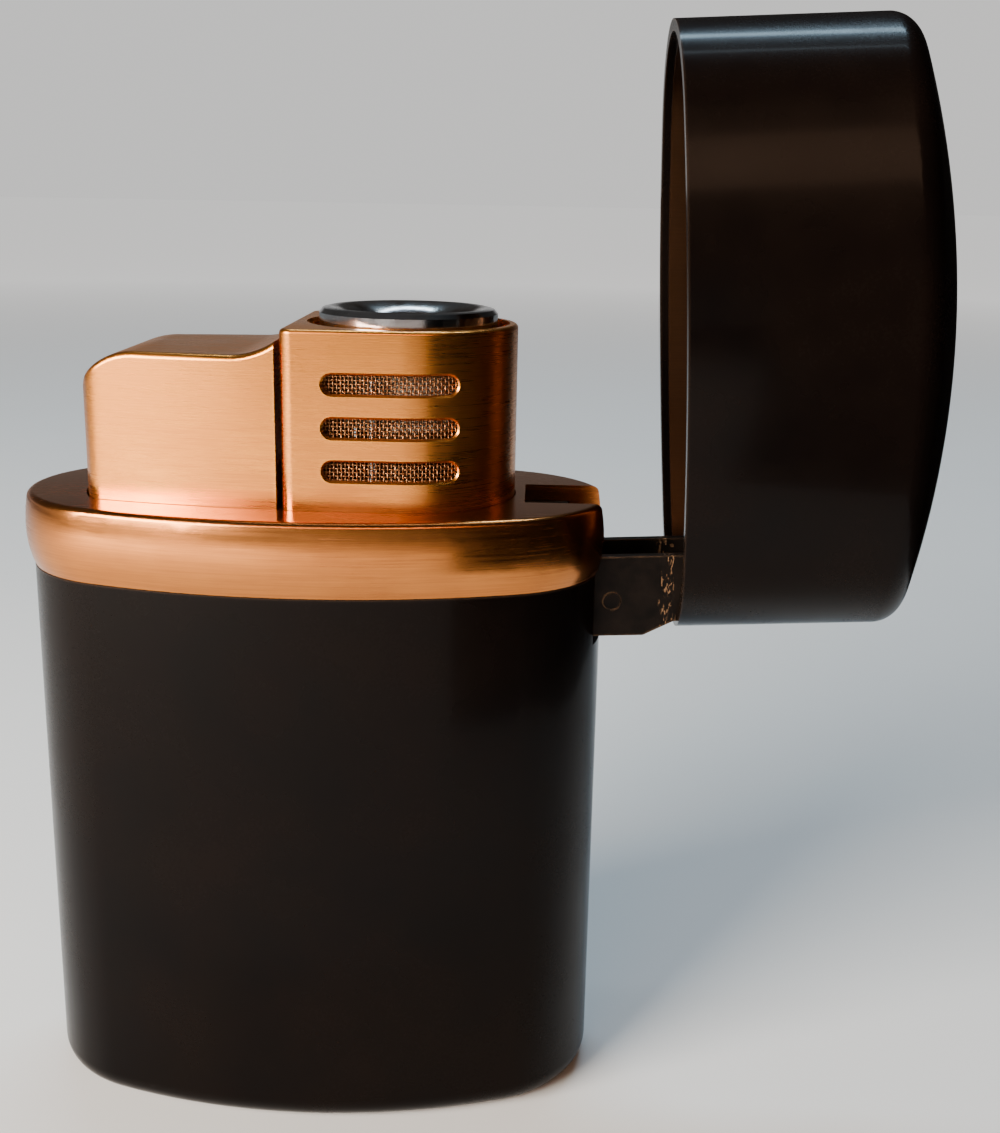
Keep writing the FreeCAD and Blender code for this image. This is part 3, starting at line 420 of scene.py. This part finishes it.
def smooth_skin(node_name, piece_name, bevel=0.0):
    """A welded copy of a CAD piece whose curved faces shade smoothly and whose corners stay crisp."""
    mesh = nodes[node_name].data.copy()
    work = bmesh.new()
    work.from_mesh(mesh)
    bmesh.ops.remove_doubles(work, verts=work.verts, dist=WELD_REACH)
    bmesh.ops.dissolve_degenerate(work, edges=work.edges, dist=SHORTEST_EDGE)
    if bevel:
        bmesh.ops.dissolve_limit(work, angle_limit=FLAT_ANGLE, verts=work.verts, edges=work.edges)
    for face in work.faces:
        face.smooth = True
    for edge in work.edges:
        edge.smooth = len(edge.link_faces) == 2 and edge.calc_face_angle(0.0) < SHARP_ANGLE
    work.to_mesh(mesh)
    work.free()
    piece = bpy.data.objects.new(piece_name, mesh)
    bpy.context.scene.collection.objects.link(piece)
    if bevel:
        soften = piece.modifiers.new("softened corners", "BEVEL")
        soften.width = bevel
        soften.segments = 2
        soften.limit_method = "ANGLE"
        soften.angle_limit = SHARP_ANGLE
    even = piece.modifiers.new("even shading", "WEIGHTED_NORMAL")
    even.keep_sharp = True
    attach(piece, nodes[node_name]["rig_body"])
    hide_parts(node_name)
    return piece


smooth_skin("body_shell", "lacquered_body")
smooth_skin("lid_shell", "lacquered_lid")
smooth_skin("lid_liner", "lid_lining")
smooth_skin("collar", "copper_collar")
smooth_skin("button", "copper_button")
smooth_skin("burner_cover", "copper_cover")
smooth_skin("burner_cup", "chrome_cup")
smooth_skin("hinge_bracket", "painted_bracket", bevel=0.08 * MM)


# ---------------------------------------------------------------- woven screen and wound wires
def geometry_tree(name, inputs):
    """An empty Geometry Nodes tree with its named inputs and one geometry output."""
    tree = bpy.data.node_groups.new(name, "GeometryNodeTree")
    tree.interface.new_socket("Geometry", in_out="INPUT", socket_type="NodeSocketGeometry")
    tree.interface.new_socket("Geometry", in_out="OUTPUT", socket_type="NodeSocketGeometry")
    for label, kind in inputs.items():
        tree.interface.new_socket(label, in_out="INPUT", socket_type=kind)
    return tree, tree.nodes.new("NodeGroupInput").outputs, tree.nodes.new("NodeGroupOutput").inputs


def wire_along(tree, curve, radius, sides, material):
    """Round wire of that radius along a curve, finished for use as a plain mesh."""
    ring = put(tree, "GeometryNodeCurvePrimitiveCircle", {"Resolution": sides, "Radius": radius})
    wire = put(tree, "GeometryNodeCurveToMesh",
               {"Curve": curve, "Profile Curve": ring.outputs["Curve"], "Fill Caps": True})
    smooth = put(tree, "GeometryNodeSetShadeSmooth", {"Geometry": wire.outputs["Mesh"]})
    real = put(tree, "GeometryNodeRealizeInstances", {"Geometry": smooth.outputs["Geometry"]})
    finished = put(tree, "GeometryNodeSetMaterial",
                   {"Geometry": real.outputs["Geometry"], "Material": material})
    return finished.outputs["Geometry"]


def make_weave_tree():
    """Plain weave of upright wires and level rings, laid along a closed outline."""
    tree, given, result = geometry_tree("wire_weave", {
        "Pitch": "NodeSocketFloat", "Height": "NodeSocketFloat", "Wire Radius": "NodeSocketFloat",
        "Sides": "NodeSocketInt", "Material": "NodeSocketMaterial",
    })
    outline = put(tree, "GeometryNodeMeshToCurve", {"Mesh": given["Geometry"]}).outputs["Curve"]
    length = put(tree, "GeometryNodeCurveLength", {"Curve": outline}).outputs["Length"]
    pairs = calc(tree, "ROUND", calc(tree, "DIVIDE", length, calc(tree, "MULTIPLY", given["Pitch"], 2.0)))
    uprights = calc(tree, "MULTIPLY", pairs, 2.0)
    rows = calc(tree, "FLOOR", calc(tree, "DIVIDE", given["Height"], given["Pitch"]))
    sway = calc(tree, "MULTIPLY", given["Wire Radius"], 1.05)

    def numbered(count, label):
        line = put(tree, "GeometryNodeMeshLine", {"Count": count, "Offset": (0.0, 0.0, 0.0)})
        index = put(tree, "GeometryNodeInputIndex").outputs["Index"]
        store = put(tree, "GeometryNodeStoreNamedAttribute",
                    {"Geometry": line.outputs["Mesh"], "Name": label, "Value": index},
                    data_type="FLOAT", domain="POINT")
        return store.outputs["Geometry"]

    def recall(label):
        stored = put(tree, "GeometryNodeInputNamedAttribute", {"Name": label}, data_type="FLOAT")
        return stored.outputs["Attribute"]

    def laid(count, label, strand):
        points = numbered(count, label)
        placed = put(tree, "GeometryNodeInstanceOnPoints", {"Points": points, "Instance": strand})
        real = put(tree, "GeometryNodeRealizeInstances", {"Geometry": placed.outputs["Instances"]})
        return real.outputs["Geometry"]

    def over_and_under(number, travel, start):
        """Sideways shift of a wire that passes over and under the crossing ones."""
        turn = calc(tree, "ADD", calc(tree, "MULTIPLY", calc(tree, "ADD", travel, number), math.pi), start)
        return calc(tree, "MULTIPLY", calc(tree, "SINE", turn), sway)

    def outward(share):
        sample = put(tree, "GeometryNodeSampleCurve", {"Curves": outline, "Factor": share}, mode="FACTOR",
                     use_all_curves=False)
        side = vector(tree, "CROSS_PRODUCT", sample.outputs["Tangent"], (0.0, 0.0, 1.0))
        return sample.outputs["Position"], vector(tree, "NORMALIZE", side)

    place = put(tree, "GeometryNodeInputPosition").outputs["Position"]
    height = put(tree, "ShaderNodeSeparateXYZ", {0: place}).outputs["Z"]

    top = put(tree, "ShaderNodeCombineXYZ", {"Z": given["Height"]}).outputs[0]
    stem = put(tree, "GeometryNodeCurvePrimitiveLine", {"Start": (0.0, 0.0, 0.0), "End": top})
    stem = stem.outputs["Curve"]
    joints = calc(tree, "ADD", calc(tree, "MULTIPLY", rows, 2.0), 1.0)
    stem = put(tree, "GeometryNodeResampleCurve", {"Curve": stem, "Count": joints}).outputs["Curve"]
    stems = laid(uprights, "upright", stem)
    foot, side = outward(calc(tree, "DIVIDE", recall("upright"), uprights))
    shift = over_and_under(recall("upright"), calc(tree, "DIVIDE", height, given["Pitch"]), 0.0)
    rise = put(tree, "ShaderNodeCombineXYZ", {"Z": height}).outputs[0]
    spot = vector(tree, "ADD", vector(tree, "ADD", foot, rise), vector(tree, "SCALE", side, scale=shift))
    stems = put(tree, "GeometryNodeSetPosition", {"Geometry": stems, "Position": spot}).outputs["Geometry"]

    bends = calc(tree, "MULTIPLY", uprights, 2.0)
    ring = put(tree, "GeometryNodeResampleCurve", {"Curve": outline, "Count": bends}).outputs["Curve"]
    rings = laid(rows, "row", ring)
    share = put(tree, "GeometryNodeSplineParameter").outputs["Factor"]
    foot, side = outward(share)
    shift = over_and_under(recall("row"), calc(tree, "MULTIPLY", share, uprights), -math.pi / 2)
    level = calc(tree, "MULTIPLY", calc(tree, "ADD", recall("row"), 0.5), given["Pitch"])
    rise = put(tree, "ShaderNodeCombineXYZ", {"Z": level}).outputs[0]
    spot = vector(tree, "ADD", vector(tree, "ADD", foot, rise), vector(tree, "SCALE", side, scale=shift))
    rings = put(tree, "GeometryNodeSetPosition", {"Geometry": rings, "Position": spot}).outputs["Geometry"]

    both = tree.nodes.new("GeometryNodeJoinGeometry")
    tree.links.new(stems, both.inputs[0])
    tree.links.new(rings, both.inputs[0])
    finished = wire_along(tree, both.outputs[0], given["Wire Radius"], given["Sides"], given["Material"])
    tree.links.new(finished, result["Geometry"])
    return tree


def make_winding_tree():
    """Helical wire about the local Z axis, from height 0 upwards, its ends wound close."""
    tree, given, result = geometry_tree("wound_wire", {
        "Coil Radius": "NodeSocketFloat", "Wire Radius": "NodeSocketFloat", "Height": "NodeSocketFloat",
        "Turns": "NodeSocketFloat", "Sides": "NodeSocketInt", "Material": "NodeSocketMaterial",
    })
    helix = put(tree, "GeometryNodeCurveSpiral", {
        "Resolution": 28, "Rotations": given["Turns"], "Start Radius": given["Coil Radius"],
        "End Radius": given["Coil Radius"], "Height": given["Height"], "Reverse": False,
    }).outputs["Curve"]
    place = put(tree, "GeometryNodeInputPosition").outputs["Position"]
    height = put(tree, "ShaderNodeSeparateXYZ", {0: place}).outputs["Z"]
    share = put(tree, "GeometryNodeSplineParameter").outputs["Factor"]
    ease = put(tree, "ShaderNodeMapRange", {"Value": share}, interpolation_type="SMOOTHSTEP")
    ease = ease.outputs["Result"]
    mixed = blend_number(tree, 0.45, share, ease)
    shift = calc(tree, "SUBTRACT", calc(tree, "MULTIPLY", mixed, given["Height"]), height)
    offset = put(tree, "ShaderNodeCombineXYZ", {"Z": shift}).outputs[0]
    helix = put(tree, "GeometryNodeSetPosition", {"Geometry": helix, "Offset": offset}).outputs["Geometry"]
    finished = wire_along(tree, helix, given["Wire Radius"], given["Sides"], given["Material"])
    tree.links.new(finished, result["Geometry"])
    return tree


def grow(name, base_mesh, tree, turn=None, **values):
    """Runs a Geometry Nodes tree on a mesh and returns its result as a plain mesh object."""
    source = bpy.data.objects.new(name + "_source", base_mesh)
    bpy.context.scene.collection.objects.link(source)
    modifier = source.modifiers.new("grow", "NODES")
    modifier.node_group = tree
    for item in tree.interface.items_tree:
        key = item.name.replace(" ", "_")
        if item.in_out == "INPUT" and key in values:
            modifier[item.identifier] = values[key]
    bpy.context.view_layer.update()
    evaluated = source.evaluated_get(bpy.context.evaluated_depsgraph_get())
    mesh = bpy.data.meshes.new_from_object(evaluated)
    mesh.name = name
    bpy.data.objects.remove(source)
    if turn:
        mesh.transform(turn)
    piece = bpy.data.objects.new(name, mesh)
    bpy.context.scene.collection.objects.link(piece)
    return piece


def stand_for(piece, node_name):
    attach(piece, nodes[node_name]["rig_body"])
    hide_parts(node_name)


def make_woven_screen():
    """The wire screen behind the burner cover's slots, as wide as its CAD sleeve."""
    low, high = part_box("air_screen")
    middle_gap = 0.125 * MM
    axis = (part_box("burner_cup")[0].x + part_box("burner_cup")[1].x) / 2
    radius = high.x - axis - middle_gap
    left = low.x + middle_gap
    corner = 0.45 * MM
    points = [(axis + radius * math.sin(a), -radius * math.cos(a))
              for a in (math.pi * k / 48 for k in range(49))]
    for centre_y, first in ((radius - corner, 90), (-radius + corner, 180)):
        for k in range(7):
            a = math.radians(first + 15 * k)
            points.append((left + corner + corner * math.cos(a), centre_y + corner * math.sin(a)))
    work = bmesh.new()
    ring = [work.verts.new((x, y, 0.0)) for x, y in points]
    for first, second in zip(ring, ring[1:] + ring[:1]):
        work.edges.new((first, second))
    mesh = bpy.data.meshes.new("screen_outline")
    work.to_mesh(mesh)
    work.free()
    piece = grow("woven_screen", mesh, make_weave_tree(), turn=Matrix.Translation((0.0, 0.0, low.z)),
                 Pitch=0.26 * MM, Height=high.z - low.z, Wire_Radius=0.064 * MM, Sides=3,
                 Material=screen_wire)
    stand_for(piece, "air_screen")


def make_springs():
    """Coil springs wound inside the room of their CAD pieces, and the glow-wire across the burner."""
    winding = make_winding_tree()
    springs = (   # CAD node, piece, wire radius in mm, turns
        ("piezo_spring", "piezo_return_spring", 0.20, 6.0),
        ("gas_valve_spring", "gas_valve_coil", 0.18, 3.0),
        ("fill_valve_spring", "fill_valve_coil", 0.15, 5.0),
    )
    for node_name, piece_name, wire, turns in springs:
        low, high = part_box(node_name)
        reach = (high.x - low.x) / 2 - wire * MM
        centre = (low + high) / 2
        foot = Matrix.Translation((centre.x, centre.y, low.z + wire * MM))
        piece = grow(piece_name, bpy.data.meshes.new("seed"), winding, turn=foot, Coil_Radius=reach,
                     Wire_Radius=wire * MM, Height=high.z - low.z - 2 * wire * MM, Turns=turns, Sides=8,
                     Material=spring_steel)
        stand_for(piece, node_name)
        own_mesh(piece)
    low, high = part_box("flame_coil")
    centre = (low + high) / 2
    along = Matrix.Translation((centre.x, low.y + 0.1 * MM, centre.z)) @ Matrix.Rotation(-math.pi / 2, 4, "X")
    piece = grow("glow_coil", bpy.data.meshes.new("seed"), winding, turn=along, Coil_Radius=0.41 * MM,
                 Wire_Radius=0.11 * MM, Height=high.y - low.y - 0.2 * MM, Turns=8.0, Sides=8,
                 Material=glow_wire)
    stand_for(piece, "flame_coil")


make_woven_screen()
make_springs()


# ---------------------------------------------------------------- stage, lights and camera
FLOOR_RADIUS = 6.0
GLOW_STARTS, GLOW_FULL = 0.16, 0.95      # distance over which the floor turns into backdrop


def make_floor():
    """Pale studio floor, evened out far from the object so that it runs into the backdrop."""
    work = bmesh.new()
    bmesh.ops.create_circle(work, cap_ends=True, segments=96, radius=FLOOR_RADIUS)
    mesh = bpy.data.meshes.new("floor")
    work.to_mesh(mesh)
    work.free()
    floor = bpy.data.objects.new("floor", mesh)
    bpy.context.scene.collection.objects.link(floor)
    material, tree, shader = new_material("pale_floor", Roughness=0.8, Specular_IOR_Level=0.1)
    marks = use(tree, handling, Patch_Size=0.05, Grain_Size=0.001)
    tone = blend_colour(tree, marks["Patches"], (0.80, 0.79, 0.775), (0.785, 0.775, 0.76))
    distance = vector(tree, "LENGTH", object_place(tree))
    far = remap(tree, distance, GLOW_STARTS, GLOW_FULL)
    seen = put(tree, "ShaderNodeLightPath").outputs["Is Camera Ray"]
    glow = calc(tree, "MULTIPLY", calc(tree, "MULTIPLY", far, seen), BACKDROP_LEVEL)
    feed(tree, shader, Base_Color=tone, Emission_Strength=glow)
    shader.inputs["Emission Color"].default_value = (*BACKDROP_TINT, 1.0)
    mesh.materials.append(material)


def make_world():
    """Seen directly it is an even pale backdrop; the object is lit by a dimmer, darker-sided room."""
    world = bpy.data.worlds.new("studio")
    bpy.context.scene.world = world
    world.use_nodes = True
    tree = world.node_tree
    way = put(tree, "ShaderNodeSeparateXYZ", {0: put(tree, "ShaderNodeTexCoord").outputs["Generated"]})
    high = remap(tree, way.outputs["Z"], 0.02, 0.22)
    tone = blend_colour(tree, high, (0.55, 0.54, 0.53), (0.045, 0.042, 0.040))
    right = remap(tree, way.outputs["X"], 0.0, 0.55)
    tone = blend_colour(tree, right, tone, (0.012, 0.011, 0.010))
    seen = put(tree, "ShaderNodeLightPath").outputs["Is Camera Ray"]
    pale = tuple(BACKDROP_LEVEL * c for c in BACKDROP_TINT)
    tree.links.new(blend_colour(tree, seen, tone, pale), tree.nodes["Background"].inputs["Color"])


def softbox(name, place, target, width, height, watts, colour):
    data = bpy.data.lights.new(name, "AREA")
    data.shape = "RECTANGLE"
    data.size, data.size_y = width, height
    data.energy = watts
    data.color = colour
    light = bpy.data.objects.new(name, data)
    light.visible_camera = False
    bpy.context.scene.collection.objects.link(light)
    way = Vector(target) - Vector(place)
    light.matrix_world = Matrix.Translation(place) @ way.to_track_quat("-Z", "Y").to_matrix().to_4x4()


CAMERA_TARGET = (0.01328, 0.0, 0.03992)
CAMERA_DISTANCE = 0.105176
CAMERA_ANGLES = (1.339, 14.845, 1.107)     # azimuth, elevation and lean, in degrees
SENSOR_WIDTH, LENS = 36.0, 45.26           # in millimetres


def make_camera():
    """Slightly above the collar, close in front, with the small lean of a hand-held view."""
    azimuth, elevation, lean = (math.radians(a) for a in CAMERA_ANGLES)
    target = Vector(CAMERA_TARGET)
    back = Vector((math.sin(azimuth) * math.cos(elevation), -math.cos(azimuth) * math.cos(elevation),
                   math.sin(elevation)))
    level = Vector((math.cos(azimuth), math.sin(azimuth), 0.0))
    upward = back.cross(level)
    right = level * math.cos(lean) + upward * math.sin(lean)
    top = upward * math.cos(lean) - level * math.sin(lean)
    data = bpy.data.cameras.new("camera")
    data.sensor_width = SENSOR_WIDTH
    data.lens = LENS
    data.clip_start, data.clip_end = 0.01, 20.0
    camera = bpy.data.objects.new("camera", data)
    bpy.context.scene.collection.objects.link(camera)
    turn = Matrix((right, top, back)).transposed().to_4x4()
    camera.matrix_world = Matrix.Translation(target + back * CAMERA_DISTANCE) @ turn
    bpy.context.scene.camera = camera


CARD_HEIGHT = 0.095
CARD_CORNERS = (
    (0.042, -0.084), (0.078, -0.068), (0.096, -0.040), (0.104, 0.0), (0.104, 0.05), (0.086, 0.105),
)


def make_flag():
    """Black card close on the hinge side, which only reflections see, as beside a polished product."""
    work = bmesh.new()
    low = [work.verts.new((x, y, 0.0)) for x, y in CARD_CORNERS]
    high = [work.verts.new((x, y, CARD_HEIGHT)) for x, y in CARD_CORNERS]
    for k in range(len(CARD_CORNERS) - 1):
        work.faces.new((low[k], low[k + 1], high[k + 1], high[k]))
    mesh = bpy.data.meshes.new("black_card")
    work.to_mesh(mesh)
    work.free()
    card = bpy.data.objects.new("black_card", mesh)
    bpy.context.scene.collection.objects.link(card)
    material, tree, shader = new_material("black_card", Roughness=0.9, Specular_IOR_Level=0.0)
    shader.inputs["Base Color"].default_value = (0.004, 0.0036, 0.0034, 1.0)
    mesh.materials.append(material)
    card.visible_camera = card.visible_diffuse = card.visible_shadow = card.visible_transmission = False


make_floor()
make_world()
make_flag()
ROOM_CENTRE = (0.03, 0.0, 0.06)
softbox("key", (-0.26, -0.26, 0.17), (-0.02, -0.06, 0.0), 0.24, 0.18, 5.0, (1.0, 0.93, 0.84))
softbox("rear_strip", (0.03, 0.21, 0.52), ROOM_CENTRE, 0.34, 0.050, 1.7, (0.55, 0.80, 1.0))
softbox("top_strip", (0.03, 0.03, 0.52), ROOM_CENTRE, 0.34, 0.020, 0.2, (0.66, 0.86, 1.0))
softbox("warm_front", (0.04, -0.60, 0.43), ROOM_CENTRE, 0.60, 0.13, 1.3, (1.0, 0.58, 0.36))
make_camera()
